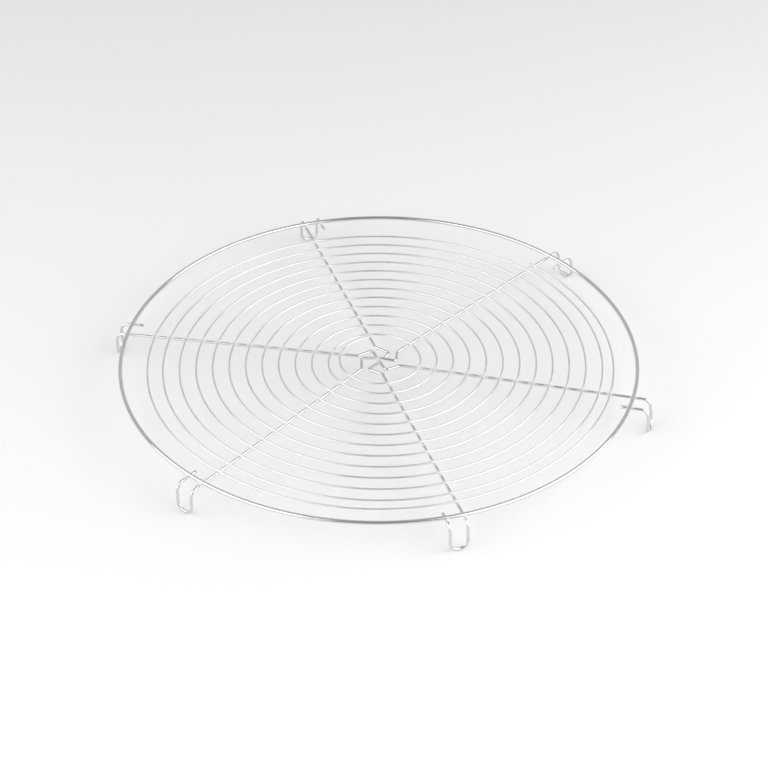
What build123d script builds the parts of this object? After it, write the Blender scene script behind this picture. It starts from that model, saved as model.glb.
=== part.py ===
"""Round wire cooling rack, about 32 cm across.

A thick wire ring carries the edge. Three thinner wires cross it as six
spokes: each one comes in under the ring, jogs sideways near the middle,
passes straight through the centre and leaves on the far side. Outside the
ring both of its ends are bent down and back up into a U-shaped leg. One long
fine wire lies on the spokes as a flat spiral of nearly thirteen turns. Every
crossing that carries load is spot welded.

Millimetres, +Z up. The origin is on the floor under the middle of the ring,
and the middle spoke wire runs along X.
"""
import os
from math import atan2, cos, degrees, radians, sin, sqrt

from build123d import *

os.makedirs("parts", exist_ok=True)

# ---- wire diameters -------------------------------------------------------
RIM_WIRE = 2.5
SPOKE_WIRE = 1.8
GRID_WIRE = 1.2

# ---- ring -----------------------------------------------------------------
RIM_RADIUS = 160.0

# ---- heights of the wire centrelines above the floor ----------------------
LEG_HEIGHT = 17.0       # foot to spoke, measured between centrelines
CROSSING_GAP = 0.04     # hairline left between two crossing wires
FOOT_Z = SPOKE_WIRE / 2
SPOKE_Z = FOOT_Z + LEG_HEIGHT
RIM_Z = SPOKE_Z + (SPOKE_WIRE + RIM_WIRE) / 2 + CROSSING_GAP
GRID_Z = SPOKE_Z + (SPOKE_WIRE + GRID_WIRE) / 2 + CROSSING_GAP
WELD_Z = SPOKE_Z + (SPOKE_WIRE + CROSSING_GAP) / 2

# ---- spokes and hub -------------------------------------------------------
SPOKE_OFFSET = -2.4     # every spoke runs this far beside the centre
HUB_ELBOW_REACH = 13.9  # where a spoke ends and its sideways jog begins
HUB_CORNER_RADIUS = 11.0    # where the jog ends and the centre run begins
HUB_CORNER_TURN = -56.5     # degrees from the spoke to that corner
HUB_STEP = 1.88         # the three centre runs are stacked this far apart
HUB_CORNER_LIFT = 0.6   # the upper and lower wires begin their climb in the jog
ELBOW_BEND = 2.5
CORNER_BEND = 1.8
SADDLE_BEND = 4.0       # where they ride over or under the middle wire

# ---- legs -----------------------------------------------------------------
LEG_WIDTH = 10.9        # between the two strands of one leg
STUB_REACH = RIM_RADIUS - 7.0   # the second strand ends inside the ring
SHOULDER_BEND = 5.0
FOOT_BEND = 5.2

# ---- spiral grid ----------------------------------------------------------
GRID_START_ANGLE = 117.0    # the inner end sits on a spoke
GRID_START_RADIUS = 25.1
GRID_START_CENTRE = (0.9, -0.7)     # the spiral is welded on a little off-centre
ARC_SPAN = 90.0         # the spiral is a chain of quarter arcs
GRID_ARCS = 51
GRID_LAST_SPAN = 31.0   # the short arc that ends on another spoke
EYE_ARCS = 3            # round the eye of the spiral the radius stays the same
EDGE_ARCS = 4           # near its outer end the spiral opens more slowly
ARC_GROWTH = 2.56       # radius gained from one quarter arc to the next
EDGE_GROWTH = 1.7

# ---- spot welds -----------------------------------------------------------
RIM_WELD_RADIUS = 1.55
GRID_WELD_RADIUS = 1.0
HUB_WELD_RADIUS = 1.45

# Name, then whether the wire crosses the hub above (1), below (-1) or between
# the others (0), then for each of its two ends the spoke's bearing, how far
# outside the ring its leg stands, and how much further out its foot is splayed.
# Two wires are sprung four degrees away from a straight diameter, and their
# legs aren't all bent at the same place or to the same slant.
SPOKE_WIRES = [
    ("spoke_wire_middle", 0, ((-2.0, 10.0, 2.0), (182.0, 7.8, 0.0))),
    ("spoke_wire_upper", 1, ((58.0, 10.5, 2.5), (242.0, 9.2, 0.0))),
    ("spoke_wire_lower", -1, ((120.0, 10.0, 0.0), (300.0, 5.2, 1.2))),
]


def beside_spoke(bearing, reach, offset, height):
    """Point at a reach along a spoke's bearing and an offset to its left."""
    angle = radians(bearing)
    return (
        reach * cos(angle) - offset * sin(angle),
        reach * sin(angle) + offset * cos(angle),
        height,
    )


def half_wire_corners(end, hub_bearing, level):
    """Corners of one half of a spoke wire, from the stub end to the hub."""
    bearing, standoff, splay = end
    leg_reach = RIM_RADIUS + standoff
    foot_reach = leg_reach + splay
    stub_offset = SPOKE_OFFSET - LEG_WIDTH
    hub_angle = radians(hub_bearing + HUB_CORNER_TURN)
    return [
        beside_spoke(bearing, STUB_REACH, stub_offset, SPOKE_Z),
        beside_spoke(bearing, leg_reach, stub_offset, SPOKE_Z),
        beside_spoke(bearing, foot_reach, stub_offset, FOOT_Z),
        beside_spoke(bearing, foot_reach, SPOKE_OFFSET, FOOT_Z),
        beside_spoke(bearing, leg_reach, SPOKE_OFFSET, SPOKE_Z),
        beside_spoke(bearing, HUB_ELBOW_REACH, SPOKE_OFFSET, SPOKE_Z),
        (
            HUB_CORNER_RADIUS * cos(hub_angle),
            HUB_CORNER_RADIUS * sin(hub_angle),
            SPOKE_Z + level * HUB_CORNER_LIFT,
        ),
    ]


def spiral_arcs():
    """Centre, radius, start angle and span of each arc of the spiral.

    Each centre steps back along the shared radius by the growth, so that
    neighbouring arcs meet tangentially.
    """
    x, y = GRID_START_CENTRE
    radius = GRID_START_RADIUS
    angle = GRID_START_ANGLE
    arcs = []
    for index in range(GRID_ARCS + 1):
        span = ARC_SPAN if index < GRID_ARCS else GRID_LAST_SPAN
        arcs.append(((x, y), radius, angle, span))
        if index < EYE_ARCS - 1:
            growth = 0
        elif index < GRID_ARCS - EDGE_ARCS:
            growth = ARC_GROWTH
        else:
            growth = EDGE_GROWTH
        angle += span
        radius += growth
        x -= growth * cos(radians(angle))
        y -= growth * sin(radians(angle))
    return arcs


def spiral_crossings(bearing):
    """Points where the spiral lies across one spoke."""
    along = radians(bearing)
    points = []
    for (x, y), radius, start, span in spiral_arcs():
        reach = x * cos(along) + y * sin(along)
        aside = SPOKE_OFFSET - (y * cos(along) - x * sin(along))
        chord = sqrt(radius**2 - aside**2)
        crossing_angle = bearing + degrees(atan2(aside, chord))
        if (crossing_angle - start) % 360 <= span:
            points.append(beside_spoke(bearing, reach + chord, SPOKE_OFFSET, WELD_Z))
    return points


def rim_crossings(bearing):
    """Points where a spoke and the stub of its leg pass under the ring."""
    points = []
    for offset in (SPOKE_OFFSET, SPOKE_OFFSET - LEG_WIDTH):
        reach = sqrt(RIM_RADIUS**2 - offset**2)
        points.append(beside_spoke(bearing, reach, offset, WELD_Z))
    return points


# ---- ring: one thick wire closed on itself --------------------------------
with BuildPart() as rim_ring:
    with BuildSketch(Plane.XZ):
        with Locations((RIM_RADIUS, RIM_Z)):
            Circle(RIM_WIRE / 2)
    revolve(axis=Axis.Z)

# ---- spiral: one fine wire lying on the spokes ----------------------------
with BuildPart() as spiral_grid:
    with BuildLine(Plane.XY.offset(GRID_Z)) as grid_path:
        for centre, radius, start, span in spiral_arcs():
            CenterArc(centre, radius, start, span)
    with BuildSketch(Plane(origin=grid_path.line @ 0, z_dir=grid_path.line % 0)):
        Circle(GRID_WIRE / 2)
    sweep(path=grid_path.line)


# ---- spoke wires: leg, spoke, hub jog, spoke, leg --------------------------
def make_spoke_wire(level, ends):
    near_end, far_end = ends
    hub_bearing = (near_end[0] + far_end[0] - 180) / 2
    near_half = half_wire_corners(near_end, hub_bearing, level)
    far_half = half_wire_corners(far_end, hub_bearing + 180, level)
    saddle = [(0, 0, SPOKE_Z + level * HUB_STEP)] if level else []
    half_bends = [
        SHOULDER_BEND, FOOT_BEND, FOOT_BEND, SHOULDER_BEND, ELBOW_BEND, CORNER_BEND,
    ]
    with BuildPart() as spoke_wire:
        with BuildLine() as wire_path:
            FilletPolyline(
                near_half + saddle + far_half[::-1],
                radius=half_bends + [SADDLE_BEND] * len(saddle) + half_bends[::-1],
            )
        with BuildSketch(Plane(origin=wire_path.line @ 0, z_dir=wire_path.line % 0)):
            Circle(SPOKE_WIRE / 2)
        sweep(path=wire_path.line)
    return spoke_wire.part


spoke_wires = {}
for name, level, ends in SPOKE_WIRES:
    spoke_wires[name] = make_spoke_wire(level, ends)

all_bearings = [end[0] for _, _, ends in SPOKE_WIRES for end in ends]

# ---- welds: beads of metal squeezed out where two wires are fused ----------
with BuildPart() as rim_welds:
    for bearing in all_bearings:
        with Locations(*rim_crossings(bearing)):
            Sphere(RIM_WELD_RADIUS)
    add(rim_ring.part, mode=Mode.SUBTRACT)
    add(spoke_wires.values(), mode=Mode.SUBTRACT)

with BuildPart() as grid_welds:
    for bearing in all_bearings:
        with Locations(*spiral_crossings(bearing)):
            Sphere(GRID_WELD_RADIUS)
    add(spiral_grid.part, mode=Mode.SUBTRACT)
    add(spoke_wires.values(), mode=Mode.SUBTRACT)

with BuildPart() as hub_weld:
    with Locations((0, 0, SPOKE_Z - HUB_STEP / 2), (0, 0, SPOKE_Z + HUB_STEP / 2)):
        Sphere(HUB_WELD_RADIUS)
    add(spoke_wires.values(), mode=Mode.SUBTRACT)

# ---- export: one file for each separate piece ------------------------------
rim_ring.part.label = "rim_ring"
spiral_grid.part.label = "spiral_grid"
rim_welds.part.label = "rim_welds"
grid_welds.part.label = "grid_welds"
hub_weld.part.label = "hub_weld"
export_step(rim_ring.part, "parts/rim_ring.step")
export_step(spiral_grid.part, "parts/spiral_grid.step")
export_step(rim_welds.part, "parts/rim_welds.step")
export_step(grid_welds.part, "parts/grid_welds.step")
export_step(hub_weld.part, "parts/hub_weld.step")
for name, wire in spoke_wires.items():
    wire.label = name
    export_step(wire, f"parts/{name}.step")
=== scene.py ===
"""Looks for the round wire cooling rack: bright plated wire on a pale table.

Each wire is a finely divided round tube swept along the same line as in the
CAD, with sheared ends, and each weld is an uneven lump of metal in the nook
between the two wires that it joins. Metres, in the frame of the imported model.
"""
from math import acos, atan2, ceil, cos, degrees, exp, pi, radians, sin, sqrt, tan

import bmesh
import bpy
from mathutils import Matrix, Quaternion, Vector, noise
from mathutils.kdtree import KDTree


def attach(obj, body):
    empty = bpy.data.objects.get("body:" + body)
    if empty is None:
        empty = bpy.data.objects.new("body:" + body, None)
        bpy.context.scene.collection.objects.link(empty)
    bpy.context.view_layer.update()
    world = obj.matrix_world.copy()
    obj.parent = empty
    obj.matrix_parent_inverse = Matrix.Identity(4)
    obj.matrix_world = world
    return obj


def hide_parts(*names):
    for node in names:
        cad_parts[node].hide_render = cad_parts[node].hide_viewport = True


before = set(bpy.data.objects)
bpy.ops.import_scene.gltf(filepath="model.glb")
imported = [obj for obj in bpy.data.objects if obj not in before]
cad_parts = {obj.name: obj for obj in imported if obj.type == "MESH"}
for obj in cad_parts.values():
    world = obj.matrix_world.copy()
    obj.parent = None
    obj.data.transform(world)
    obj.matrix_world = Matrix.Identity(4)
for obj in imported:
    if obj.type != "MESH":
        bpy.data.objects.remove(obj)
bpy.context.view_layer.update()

MM = 0.001

# ---- the rack's driving dimensions, as in its CAD ---------------------------
RIM_WIRE = 2.5 * MM
SPOKE_WIRE = 1.8 * MM
GRID_WIRE = 1.2 * MM
RIM_RADIUS = 160.0 * MM
LEG_HEIGHT = 17.0 * MM      # foot to spoke, measured between centrelines
CROSSING_GAP = 0.04 * MM    # hairline left between two crossing wires

# Heights of the wire centrelines above the floor.
FOOT_Z = SPOKE_WIRE / 2
SPOKE_Z = FOOT_Z + LEG_HEIGHT
RIM_Z = SPOKE_Z + (SPOKE_WIRE + RIM_WIRE) / 2 + CROSSING_GAP
GRID_Z = SPOKE_Z + (SPOKE_WIRE + GRID_WIRE) / 2 + CROSSING_GAP
WELD_Z = SPOKE_Z + (SPOKE_WIRE + CROSSING_GAP) / 2

SPOKE_OFFSET = -2.4 * MM        # every spoke runs this far beside the centre
HUB_ELBOW_REACH = 13.9 * MM     # where a spoke ends and its sideways jog begins
HUB_CORNER_RADIUS = 11.0 * MM   # where the jog ends and the centre run begins
HUB_CORNER_TURN = -56.5         # degrees from the spoke to that corner
HUB_STEP = 1.88 * MM            # the three centre runs are stacked this far apart
HUB_CORNER_LIFT = 0.6 * MM      # the upper and lower wires begin their climb in the jog
ELBOW_BEND = 2.5 * MM
CORNER_BEND = 1.8 * MM
SADDLE_BEND = 4.0 * MM          # where they ride over or under the middle wire

LEG_WIDTH = 10.9 * MM           # between the two strands of one leg
STUB_REACH = RIM_RADIUS - 7.0 * MM      # the second strand ends inside the ring
SHOULDER_BEND = 5.0 * MM
FOOT_BEND = 5.2 * MM

GRID_START_ANGLE = 117.0        # the inner end sits on a spoke
GRID_START_RADIUS = 25.1 * MM
GRID_START_CENTRE = (0.9 * MM, -0.7 * MM)
ARC_SPAN = 90.0                 # the spiral is a chain of quarter arcs
GRID_ARCS = 51
GRID_LAST_SPAN = 31.0           # the short arc that ends on another spoke
EYE_ARCS = 3                    # round the eye of the spiral the radius stays the same
EDGE_ARCS = 4                   # near its outer end the spiral opens more slowly
ARC_GROWTH = 2.56 * MM          # radius gained from one quarter arc to the next
EDGE_GROWTH = 1.7 * MM

# Name, level at the hub, then for each of its two ends the spoke's bearing, how
# far outside the ring its leg stands, and how much further out its foot is.
SPOKE_WIRES = [
    ("spoke_wire_middle", 0, ((-2.0, 10.0 * MM, 2.0 * MM), (182.0, 7.8 * MM, 0))),
    ("spoke_wire_upper", 1, ((58.0, 10.5 * MM, 2.5 * MM), (242.0, 9.2 * MM, 0))),
    ("spoke_wire_lower", -1, ((120.0, 10.0 * MM, 0), (300.0, 5.2 * MM, 1.2 * MM))),
]
ALL_BEARINGS = [end[0] for _, _, ends in SPOKE_WIRES for end in ends]

# ---- how finely the surfaces are divided ----------------------------------
RIM_SIDES = 24              # round the wire itself
SPOKE_SIDES = 20
GRID_SIDES = 16
RIM_STEPS = 480             # round the ring
LONGEST_STEP = 3.0 * MM     # along the straight runs of a spoke wire
BEND_STEP = 7.5             # degrees of its bends between two rings of vertices
SPIRAL_STEP = 2.0 * MM      # along the spiral
END_CHAMFER = 0.12          # of the wire's radius, at its sheared ends

# ---- welds ----------------------------------------------------------------
RIM_WELD = Vector((1.45, 1.45, 0.95)) * MM
GRID_WELD = Vector((0.95, 0.95, 0.6)) * MM
HUB_WELD = Vector((1.45, 1.45, 1.1)) * MM
WELD_SUBDIVISIONS = 3
WELD_LUMPINESS = 0.16
LUMP_FREQUENCY = 1.7
LUMP_BIAS = 0.5             # takes away more metal than it adds
NEXT_WELD = Vector((3.1, 1.3, 0))       # step through the noise from weld to weld
# Within this reach of a weld the wire is rougher and whitened: frosted plating, and a painted
# highlight for the glints at the crossings.
WELD_MARK_REACH = 2.2 * MM       # how far from a weld the plating looks different

# ---- how the spiral strays from its ideal line ------------------------------
SAG = 0.4 * MM              # between the spokes it hangs lower than on their tops
SAG_REACH = 3.5 * MM
WAVINESS = 0.22 * MM        # it was never coiled perfectly
WAVE_LENGTH = 45.0 * MM

# ---- plating ----------------------------------------------------------------
# Material name, colour where the plating is cloudy and where it is clear, and
# roughness in the same two places. Thinner wires are duller, and the finest is paler.
THICK_WIRE = ("plated_thick_wire", (0.66, 0.665, 0.675), (0.73, 0.73, 0.735), (0.12, 0.06))
MEDIUM_WIRE = ("plated_medium_wire", (0.66, 0.665, 0.67), (0.73, 0.73, 0.735), (0.24, 0.16))
FINE_WIRE = ("plated_fine_wire", (0.76, 0.765, 0.77), (0.83, 0.83, 0.835), (0.33, 0.25))
DIE_LINE_COLOUR = (0.66, 0.665, 0.67)
SPECK_COLOUR = (0.42, 0.415, 0.41)
SCUFF_COLOUR = (0.62, 0.62, 0.625)
# Near-white colour laid on the wire by each weld: frosted plating, and a painted highlight
# standing in for the glints where the wires cross.
FROSTED_AND_GLINT_COLOUR = (0.96, 0.96, 0.955)
WELD_COLOUR = (0.74, 0.74, 0.745)
WELD_TINT = (0.66, 0.645, 0.62)
PIT_COLOUR = (0.38, 0.37, 0.355)
TABLE_COLOURS = ((0.888, 0.888, 0.888), (0.902, 0.902, 0.902))

# Features per metre along a wire and round it.
DIE_LINE_PITCH = (35, 9000, 1)
RIPPLE_PITCH = (260, 420, 1)
SCUFF_PITCH = (1900, 700, 1)

# Features per metre in every direction.
CLOUD_PITCH = 90.0
SPECK_PITCH = 2600.0
LUMP_PITCH = 900.0
GRAIN_PITCH = 4200.0
PATCH_PITCH = 240.0
MOTTLE_PITCH = 6.0

# Depth of the relief on the wires and on the welds.
RIPPLE_DEPTH = 0.04 * MM
DIE_LINE_DEPTH = 0.012 * MM
SCUFF_DEPTH = 0.006 * MM
LUMP_DEPTH = 0.12 * MM
GRAIN_DEPTH = 0.03 * MM


# ===========================================================================
# Lines that the wires follow
# ===========================================================================
def beside_spoke(bearing, reach, offset, height):
    """Point at a reach along a spoke's bearing and an offset to its left."""
    angle = radians(bearing)
    return Vector((
        reach * cos(angle) - offset * sin(angle),
        reach * sin(angle) + offset * cos(angle),
        height,
    ))


def half_wire_corners(end, hub_bearing, level):
    """Corners of one half of a spoke wire, from the stub end to the hub."""
    bearing, standoff, splay = end
    leg_reach = RIM_RADIUS + standoff
    foot_reach = leg_reach + splay
    stub_offset = SPOKE_OFFSET - LEG_WIDTH
    hub_angle = radians(hub_bearing + HUB_CORNER_TURN)
    return [
        beside_spoke(bearing, STUB_REACH, stub_offset, SPOKE_Z),
        beside_spoke(bearing, leg_reach, stub_offset, SPOKE_Z),
        beside_spoke(bearing, foot_reach, stub_offset, FOOT_Z),
        beside_spoke(bearing, foot_reach, SPOKE_OFFSET, FOOT_Z),
        beside_spoke(bearing, leg_reach, SPOKE_OFFSET, SPOKE_Z),
        beside_spoke(bearing, HUB_ELBOW_REACH, SPOKE_OFFSET, SPOKE_Z),
        Vector((
            HUB_CORNER_RADIUS * cos(hub_angle),
            HUB_CORNER_RADIUS * sin(hub_angle),
            SPOKE_Z + level * HUB_CORNER_LIFT,
        )),
    ]


def bend_points(before, corner, after, radius):
    """Points of the arc that rounds one corner."""
    back = (before - corner).normalized()
    ahead = (after - corner).normalized()
    opening = acos(max(-1.0, min(1.0, back.dot(ahead))))
    turn = pi - opening
    start = corner + back * (radius / tan(opening / 2))
    centre = corner + (back + ahead).normalized() * (radius / sin(opening / 2))
    axis = back.cross(ahead).normalized()
    steps = max(2, ceil(degrees(turn) / BEND_STEP))
    spoke = start - centre
    return [
        centre + Quaternion(axis, -turn * step / steps) @ spoke
        for step in range(steps + 1)
    ]


def divided(points, longest):
    """The same line, with no stretch longer than the given one."""
    line = [points[0]]
    for start, end in zip(points, points[1:]):
        pieces = max(1, ceil((end - start).length / longest))
        for piece in range(1, pieces + 1):
            line.append(start.lerp(end, piece / pieces))
    return line


def spoke_wire_line(level, ends):
    """One spoke wire, from the stub of one leg to the stub of the other."""
    near_end, far_end = ends
    hub_bearing = (near_end[0] + far_end[0] - 180) / 2
    near_half = half_wire_corners(near_end, hub_bearing, level)
    far_half = half_wire_corners(far_end, hub_bearing + 180, level)
    saddle = [Vector((0, 0, SPOKE_Z + level * HUB_STEP))] if level else []
    corners = near_half + saddle + far_half[::-1]
    half_bends = [
        SHOULDER_BEND, FOOT_BEND, FOOT_BEND, SHOULDER_BEND, ELBOW_BEND, CORNER_BEND,
    ]
    bends = half_bends + [SADDLE_BEND] * len(saddle) + half_bends[::-1]
    line = [corners[0]]
    for before, corner, after, radius in zip(corners, corners[1:], corners[2:], bends):
        line += bend_points(before, corner, after, radius)
    line.append(corners[-1])
    return divided(line, LONGEST_STEP)


def spiral_arcs():
    """Centre, radius, start angle and span of each arc of the spiral."""
    x, y = GRID_START_CENTRE
    radius = GRID_START_RADIUS
    angle = GRID_START_ANGLE
    arcs = []
    for index in range(GRID_ARCS + 1):
        span = ARC_SPAN if index < GRID_ARCS else GRID_LAST_SPAN
        arcs.append(((x, y), radius, angle, span))
        if index < EYE_ARCS - 1:
            growth = 0
        elif index < GRID_ARCS - EDGE_ARCS:
            growth = ARC_GROWTH
        else:
            growth = EDGE_GROWTH
        angle += span
        radius += growth
        x -= growth * cos(radians(angle))
        y -= growth * sin(radians(angle))
    return arcs


def ring_line():
    """The ring, which closes on itself."""
    return [
        Vector((RIM_RADIUS * cos(angle), RIM_RADIUS * sin(angle), RIM_Z))
        for angle in (2 * pi * step / RIM_STEPS for step in range(RIM_STEPS))
    ]


def spiral_crossings(bearing):
    """Points where the spiral lies across one spoke."""
    along = radians(bearing)
    points = []
    for (x, y), radius, start, span in spiral_arcs():
        reach = x * cos(along) + y * sin(along)
        aside = SPOKE_OFFSET - (y * cos(along) - x * sin(along))
        chord = sqrt(radius**2 - aside**2)
        crossing_angle = bearing + degrees(atan2(aside, chord))
        if (crossing_angle - start) % 360 <= span:
            points.append(beside_spoke(bearing, reach + chord, SPOKE_OFFSET, WELD_Z))
    return points


def rim_crossings(bearing):
    """Points where a spoke and the stub of its leg pass under the ring."""
    points = []
    for offset in (SPOKE_OFFSET, SPOKE_OFFSET - LEG_WIDTH):
        reach = sqrt(RIM_RADIUS**2 - offset**2)
        points.append(beside_spoke(bearing, reach, offset, WELD_Z))
    return points


RIM_WELD_POINTS = [point for bearing in ALL_BEARINGS for point in rim_crossings(bearing)]
GRID_WELD_POINTS = [point for bearing in ALL_BEARINGS for point in spiral_crossings(bearing)]
HUB_WELD_POINTS = [
    Vector((0, 0, SPOKE_Z - HUB_STEP / 2)),
    Vector((0, 0, SPOKE_Z + HUB_STEP / 2)),
]


def weld_tree():
    """All the welds, ready to be searched for the nearest one."""
    points = RIM_WELD_POINTS + GRID_WELD_POINTS + HUB_WELD_POINTS
    tree = KDTree(len(points))
    for index, point in enumerate(points):
        tree.insert(point, index)
    tree.balance()
    return tree


WELD_TREE = weld_tree()


def spiral_line():
    """The spiral's own line: a little wavy, and humped over each spoke."""
    height_above_weld = GRID_Z - WELD_Z
    line = []
    for (x, y), radius, start, span in spiral_arcs():
        steps = ceil(radius * radians(span) / SPIRAL_STEP)
        for step in range(1 if line else 0, steps + 1):
            angle = radians(start + span * step / steps)
            outward = Vector((cos(angle), sin(angle), 0))
            point = Vector((x, y, GRID_Z)) + outward * radius
            weld_distance = WELD_TREE.find(point)[2]
            away = sqrt(max(0.0, weld_distance**2 - height_above_weld**2))
            point += outward * WAVINESS * noise.noise(point / WAVE_LENGTH)
            point.z -= SAG * (1 - exp(-((away / SAG_REACH) ** 2)))
            line.append(point)
    return line


# ===========================================================================
# Surfaces
# ===========================================================================
def line_frames(line, closed):
    """Tangent and one side direction at each point, carried along without twist."""
    count = len(line)
    tangents = []
    for index, point in enumerate(line):
        before = line[index - 1] if index or closed else point
        after = line[(index + 1) % count] if index + 1 < count or closed else point
        tangents.append((after - before).normalized())
    side = tangents[0].orthogonal().normalized()
    sides = []
    for index, tangent in enumerate(tangents):
        if index:
            side = tangents[index - 1].rotation_difference(tangent) @ side
        side = (side - tangent * side.dot(tangent)).normalized()
        sides.append(side)
    return tangents, sides


def mark_weld_closeness(mesh):
    """Stores on each vertex how close it is to a weld, from 0 to 1."""
    closeness_to_weld = mesh.attributes.new("weld_closeness", "FLOAT", "POINT")
    for vertex in mesh.vertices:
        distance = WELD_TREE.find(vertex.co)[2]
        closeness_to_weld.data[vertex.index].value = exp(-((distance / WELD_MARK_REACH) ** 2))


def finish_piece(mesh_data, name, material, nodes):
    """Makes the mesh an object that rides on the rack and stands for its CAD nodes."""
    mark_weld_closeness(mesh_data)
    mesh_data.materials.append(material)
    piece = bpy.data.objects.new(name, mesh_data)
    bpy.context.collection.objects.link(piece)
    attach(piece, "root")
    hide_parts(*nodes)


def chamfered_ends(stations):
    """Adds a smaller ring at each end, so that the sheared edge isn't razor sharp."""
    def face_and_edge(station, inward):
        centre, tangent, side, radius = station
        chamfer = radius * END_CHAMFER
        face = (centre, tangent, side, radius - chamfer)
        edge = (centre + tangent * chamfer * inward, tangent, side, radius)
        return face, edge

    first_face, first_edge = face_and_edge(stations[0], 1)
    last_face, last_edge = face_and_edge(stations[-1], -1)
    return [first_face, first_edge, *stations[1:-1], last_edge, last_face]


def ring_of_vertices(shape, sides, station):
    centre, tangent, side, radius = station
    across = tangent.cross(side)
    return [
        shape.verts.new(centre + (side * cos(angle) + across * sin(angle)) * radius)
        for angle in (2 * pi * index / sides for index in range(sides))
    ]


def band_of_faces(shape, uv, first, second, start, end, girth):
    """Joins two rings; start and end are how far along the wire they are."""
    sides = len(first)
    for index in range(sides):
        after = (index + 1) % sides
        face = shape.faces.new((first[index], first[after], second[after], second[index]))
        face.smooth = True
        low = girth * index / sides
        high = girth * (index + 1) / sides
        places = ((start, low), (start, high), (end, high), (end, low))
        for loop, place in zip(face.loops, places):
            loop[uv].uv = place


def swept_wire(name, line, diameter, sides, closed=False):
    """A round tube along a line; its UV map says how far along and round, in metres."""
    tangents, side_directions = line_frames(line, closed)
    radii = [diameter / 2] * len(line)
    stations = list(zip(line, tangents, side_directions, radii))
    if not closed:
        stations = chamfered_ends(stations)

    shape = bmesh.new()
    uv = shape.loops.layers.uv.new("along_and_round")
    rings = [ring_of_vertices(shape, sides, station) for station in stations]
    next_rings = [*range(1, len(rings)), 0] if closed else range(1, len(rings))
    travelled = 0.0
    for first, second in enumerate(next_rings):
        step = (stations[second][0] - stations[first][0]).length
        band_of_faces(
            shape, uv, rings[first], rings[second], travelled, travelled + step, pi * diameter
        )
        travelled += step
    if not closed:
        shape.faces.new(rings[0][::-1])
        shape.faces.new(rings[-1])
    bmesh.ops.recalc_face_normals(shape, faces=shape.faces)
    mesh_data = bpy.data.meshes.new(name)
    shape.to_mesh(mesh_data)
    shape.free()
    return mesh_data


def weld_lumps(name, points, size):
    """One small uneven lump of metal at each point."""
    shape = bmesh.new()
    for index, point in enumerate(points):
        made = bmesh.ops.create_icosphere(shape, subdivisions=WELD_SUBDIVISIONS, radius=1.0)
        for vertex in made["verts"]:
            direction = vertex.co.normalized()
            seed = direction * LUMP_FREQUENCY + NEXT_WELD * index
            bulge = 1 + WELD_LUMPINESS * (noise.noise(seed) - LUMP_BIAS)
            reach = Vector(part * half for part, half in zip(direction, size))
            vertex.co = point + reach * bulge
    for face in shape.faces:
        face.smooth = True
    mesh_data = bpy.data.meshes.new(name)
    shape.to_mesh(mesh_data)
    shape.free()
    return mesh_data


# ===========================================================================
# Materials
# ===========================================================================
class Nodes:
    """Short names for building one node tree."""

    # A colour mix also has sockets of these names for numbers and vectors, so its
    # own are reached by their positions.
    MIX_LOW, MIX_HIGH, MIX_RESULT = 6, 7, 2

    def __init__(self, name):
        self.material = bpy.data.materials.new(name)
        self.material.use_nodes = True
        self.tree = self.material.node_tree
        self.shader = self.tree.nodes["Principled BSDF"]

    def add(self, kind, **settings):
        node = self.tree.nodes.new(kind)
        for key, value in settings.items():
            setattr(node, key, value)
        return node

    def link(self, output, target):
        self.tree.links.new(output, target)

    def noise(self, vector, scale, detail, roughness):
        node = self.add("ShaderNodeTexNoise")
        node.inputs["Scale"].default_value = scale
        node.inputs["Detail"].default_value = detail
        node.inputs["Roughness"].default_value = roughness
        self.link(vector, node.inputs["Vector"])
        return node.outputs["Fac"]

    def stretched(self, vector, scale):
        node = self.add("ShaderNodeMapping")
        node.inputs["Scale"].default_value = scale
        self.link(vector, node.inputs["Vector"])
        return node.outputs["Vector"]

    def spread(self, value, span, onto=(0.0, 1.0)):
        """Stretches one span of a value over another, and holds it at the ends."""
        node = self.add("ShaderNodeMapRange")
        node.inputs["From Min"].default_value = span[0]
        node.inputs["From Max"].default_value = span[1]
        node.inputs["To Min"].default_value = onto[0]
        node.inputs["To Max"].default_value = onto[1]
        self.link(value, node.inputs["Value"])
        return node.outputs["Result"]

    def calculate(self, operation, first, second):
        node = self.add("ShaderNodeMath", operation=operation)
        self.link(first, node.inputs[0])
        self.link(second, node.inputs[1])
        return node.outputs["Value"]

    def total(self, first, second):
        return self.calculate("ADD", first, second)

    def product(self, first, second):
        return self.calculate("MULTIPLY", first, second)

    def blend(self, factor, low, high):
        """Mixes two colours; each is a colour or the output of a node."""
        node = self.add("ShaderNodeMix", data_type="RGBA")
        self.link(factor, node.inputs["Factor"])
        for value, socket in ((low, self.MIX_LOW), (high, self.MIX_HIGH)):
            if isinstance(value, tuple):
                node.inputs[socket].default_value = (*value, 1.0)
            else:
                self.link(value, node.inputs[socket])
        return node.outputs[self.MIX_RESULT]

    def bump(self, height, distance, under=None):
        node = self.add("ShaderNodeBump")
        node.inputs["Distance"].default_value = distance
        self.link(height, node.inputs["Height"])
        if under is not None:
            self.link(under, node.inputs["Normal"])
        return node.outputs["Normal"]


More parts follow.
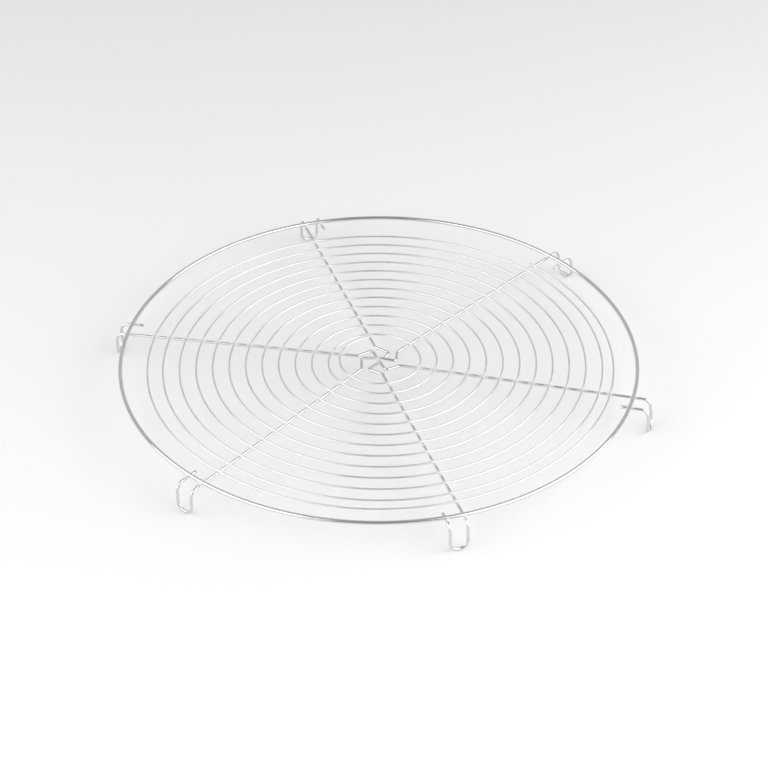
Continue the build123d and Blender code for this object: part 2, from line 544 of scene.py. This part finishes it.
def plated_wire_material(name, cloudy, clear, polish):
    """Plating over drawn wire: die lines, cloudy patches, scuffed tops, and whitening by the
    welds that is partly frosted plating and partly a painted highlight.
    """
    nodes = Nodes(name)
    place = nodes.add("ShaderNodeUVMap", uv_map="along_and_round").outputs["UV"]
    solid = nodes.add("ShaderNodeTexCoord").outputs["Object"]
    closeness_to_weld = nodes.add("ShaderNodeAttribute", attribute_name="weld_closeness").outputs["Fac"]
    facing = nodes.add("ShaderNodeSeparateXYZ")
    nodes.link(nodes.add("ShaderNodeNewGeometry").outputs["Normal"], facing.inputs["Vector"])
    upward = nodes.spread(facing.outputs["Z"], (0.55, 0.95))

    die_lines = nodes.noise(nodes.stretched(place, DIE_LINE_PITCH), 1.0, 4.0, 0.6)
    clouds = nodes.noise(solid, CLOUD_PITCH, 4.0, 0.6)
    specks = nodes.noise(solid, SPECK_PITCH, 2.0, 0.5)
    ripple = nodes.noise(nodes.stretched(place, RIPPLE_PITCH), 1.0, 2.0, 0.5)
    scuffs = nodes.noise(nodes.stretched(place, SCUFF_PITCH), 1.0, 5.0, 0.65)
    # Close to a weld: frosted plating, and a painted highlight for the glints at the
    # crossings.
    frosting_and_glint = nodes.product(closeness_to_weld, nodes.spread(specks, (0.3, 0.7), (0.6, 1.0)))
    worn = nodes.product(upward, nodes.spread(scuffs, (0.56, 0.66)))

    plating = nodes.blend(nodes.spread(clouds, (0.3, 0.7)), cloudy, clear)
    lining = nodes.spread(die_lines, (0.55, 0.8), (0.0, 0.5))
    lined = nodes.blend(lining, plating, DIE_LINE_COLOUR)
    speckling = nodes.spread(specks, (0.66, 0.74), (0.0, 0.35))
    flecked = nodes.blend(speckling, lined, SPECK_COLOUR)
    scuffing = nodes.spread(worn, (0.0, 1.0), (0.0, 0.3))
    scuffed = nodes.blend(scuffing, flecked, SCUFF_COLOUR)
    # Whitens the wire by the welds; partly frosted plating, partly a painted highlight.
    frost_and_glint_whitening = nodes.spread(frosting_and_glint, (0.1, 0.8), (0.0, 0.8))
    frosted_and_glinting = nodes.blend(frost_and_glint_whitening, scuffed, FROSTED_AND_GLINT_COLOUR)
    nodes.link(frosted_and_glinting, nodes.shader.inputs["Base Color"])

    dull, bright = polish
    drawn = nodes.total(
        nodes.spread(clouds, (0.3, 0.7), (bright, dull)),
        nodes.spread(die_lines, (0.4, 0.8), (0.0, 0.08)),
    )
    used = nodes.total(drawn, nodes.spread(worn, (0.0, 1.0), (0.0, 0.16)))
    roughness = nodes.total(used, nodes.spread(frosting_and_glint, (0.1, 0.8), (0.0, 0.4)))
    nodes.link(roughness, nodes.shader.inputs["Roughness"])
    nodes.shader.inputs["Metallic"].default_value = 1.0

    rippled = nodes.bump(ripple, RIPPLE_DEPTH)
    ridged = nodes.bump(die_lines, DIE_LINE_DEPTH, rippled)
    nodes.link(nodes.bump(scuffs, SCUFF_DEPTH, ridged), nodes.shader.inputs["Normal"])
    return nodes.material


def plated_weld_material():
    """Plating over weld metal: duller, pitted and uneven, with a faint warm tint."""
    nodes = Nodes("plated_weld")
    solid = nodes.add("ShaderNodeTexCoord").outputs["Object"]
    lumps = nodes.noise(solid, LUMP_PITCH, 4.0, 0.6)
    grain = nodes.noise(solid, GRAIN_PITCH, 3.0, 0.6)
    patches = nodes.noise(solid, PATCH_PITCH, 2.0, 0.5)

    metal = nodes.blend(nodes.spread(patches, (0.35, 0.65)), WELD_COLOUR, WELD_TINT)
    pitting = nodes.spread(grain, (0.6, 0.75), (0.0, 0.6))
    nodes.link(nodes.blend(pitting, metal, PIT_COLOUR), nodes.shader.inputs["Base Color"])
    roughness = nodes.spread(lumps, (0.3, 0.7), (0.22, 0.42))
    nodes.link(roughness, nodes.shader.inputs["Roughness"])
    nodes.shader.inputs["Metallic"].default_value = 1.0

    uneven = nodes.bump(lumps, LUMP_DEPTH)
    nodes.link(nodes.bump(grain, GRAIN_DEPTH, uneven), nodes.shader.inputs["Normal"])
    return nodes.material


def table_material():
    """Matt white table top with the faintest mottling."""
    nodes = Nodes("white_table")
    solid = nodes.add("ShaderNodeTexCoord").outputs["Object"]
    mottle = nodes.noise(solid, MOTTLE_PITCH, 4.0, 0.5)
    nodes.link(nodes.blend(mottle, *TABLE_COLOURS), nodes.shader.inputs["Base Color"])
    nodes.shader.inputs["Roughness"].default_value = 0.9
    nodes.shader.inputs["Specular IOR Level"].default_value = 0.1
    return nodes.material


# ===========================================================================
# The rack
# ===========================================================================
def build_rack():
    thick = plated_wire_material(*THICK_WIRE)
    medium = plated_wire_material(*MEDIUM_WIRE)
    fine = plated_wire_material(*FINE_WIRE)
    weld = plated_weld_material()

    ring = swept_wire("bright_ring", ring_line(), RIM_WIRE, RIM_SIDES, closed=True)
    finish_piece(ring, "bright_ring", thick, ["rim_ring"])

    spiral = swept_wire("bright_spiral", spiral_line(), GRID_WIRE, GRID_SIDES)
    finish_piece(spiral, "bright_spiral", fine, ["spiral_grid"])

    for node, level, ends in SPOKE_WIRES:
        name = "bright_" + node
        line = spoke_wire_line(level, ends)
        spoke = swept_wire(name, line, SPOKE_WIRE, SPOKE_SIDES)
        finish_piece(spoke, name, medium, [node])

    for name, points, size, node in (
        ("ring_spot_welds", RIM_WELD_POINTS, RIM_WELD, "rim_welds"),
        ("grid_spot_welds", GRID_WELD_POINTS, GRID_WELD, "grid_welds"),
        ("hub_spot_weld", HUB_WELD_POINTS, HUB_WELD, "hub_weld"),
    ):
        lumps = weld_lumps(name, points, size)
        finish_piece(lumps, name, weld, [node])


# ===========================================================================
# Studio
# ===========================================================================
CAMERA_BEARING = 11.15      # degrees to the right of the rack's front
CAMERA_ELEVATION = 36.6
CAMERA_DISTANCE = 1.4948
CAMERA_LENS = 114.6
CAMERA_SENSOR = 36.0
CAMERA_AIM = Vector((8.6 * MM, -27.0 * MM, 20.5 * MM))

# Bearings are counted from the camera's side of the rack to its right.
LEFT_BEARING = -63.0
RIGHT_BEARING = 68.0
SOFTBOX_DISTANCE = 1.3
SOFTBOX_ELEVATION = 28.0
SOFTBOX_WIDTH = 1.8
SOFTBOX_HEIGHT = 1.3
LEFT_POWER = 13.4
RIGHT_POWER = 17.8
ROOM_FRONT = 0.26           # brightness of the room behind the camera
ROOM_BACK = 0.68            # and behind the rack
TABLE_SIZE = 8.0


def from_camera_side(bearing, elevation, distance):
    """Point at a bearing counted from the camera's side of the rack to its right."""
    angle = radians(CAMERA_BEARING - 90 + bearing)
    rise = radians(elevation)
    return Vector((
        distance * cos(rise) * cos(angle),
        distance * cos(rise) * sin(angle),
        distance * sin(rise),
    ))


def look_at(thing, place, aim):
    """Puts a camera or a light at a place, turned towards its aim."""
    thing.location = place
    thing.rotation_euler = (aim - place).to_track_quat("-Z", "Y").to_euler()


def build_camera():
    camera = bpy.data.objects.new("camera", bpy.data.cameras.new("camera"))
    bpy.context.collection.objects.link(camera)
    camera.data.lens = CAMERA_LENS
    camera.data.sensor_width = CAMERA_SENSOR
    place = CAMERA_AIM + from_camera_side(0, CAMERA_ELEVATION, CAMERA_DISTANCE)
    look_at(camera, place, CAMERA_AIM)
    bpy.context.scene.camera = camera


def build_softbox(name, bearing, power):
    light = bpy.data.lights.new(name, "AREA")
    light.shape = "RECTANGLE"
    light.size = SOFTBOX_WIDTH
    light.size_y = SOFTBOX_HEIGHT
    light.energy = power
    softbox = bpy.data.objects.new(name, light)
    bpy.context.collection.objects.link(softbox)
    place = from_camera_side(bearing, SOFTBOX_ELEVATION, SOFTBOX_DISTANCE)
    look_at(softbox, place, Vector((0, 0, RIM_Z)))


def build_table():
    half = TABLE_SIZE / 2
    mesh_data = bpy.data.meshes.new("table")
    corners = [(-half, -half, 0), (half, -half, 0), (half, half, 0), (-half, half, 0)]
    mesh_data.from_pydata(corners, [], [(0, 1, 2, 3)])
    mesh_data.materials.append(table_material())
    table = bpy.data.objects.new("table", mesh_data)
    bpy.context.collection.objects.link(table)


def build_room():
    """White surroundings that are brighter behind the rack than behind the camera."""
    world = bpy.data.worlds.new("room")
    world.use_nodes = True
    tree = world.node_tree
    direction = tree.nodes.new("ShaderNodeTexCoord").outputs["Generated"]
    towards_camera = tree.nodes.new("ShaderNodeVectorMath")
    towards_camera.operation = "DOT_PRODUCT"
    towards_camera.inputs[1].default_value = from_camera_side(0, 0, 1)
    tree.links.new(direction, towards_camera.inputs[0])
    brightness = tree.nodes.new("ShaderNodeMapRange")
    brightness.inputs["From Min"].default_value = -1.0
    brightness.inputs["To Min"].default_value = ROOM_BACK
    brightness.inputs["To Max"].default_value = ROOM_FRONT
    tree.links.new(towards_camera.outputs["Value"], brightness.inputs["Value"])
    tree.links.new(brightness.outputs["Result"], tree.nodes["Background"].inputs["Strength"])
    tree.nodes["Background"].inputs["Color"].default_value = (1.0, 1.0, 1.0, 1.0)
    bpy.context.scene.world = world
    bpy.context.scene.view_settings.view_transform = "Standard"


build_rack()
build_camera()
build_softbox("left_softbox", LEFT_BEARING, LEFT_POWER)
build_softbox("right_softbox", RIGHT_BEARING, RIGHT_POWER)
build_table()
build_room()
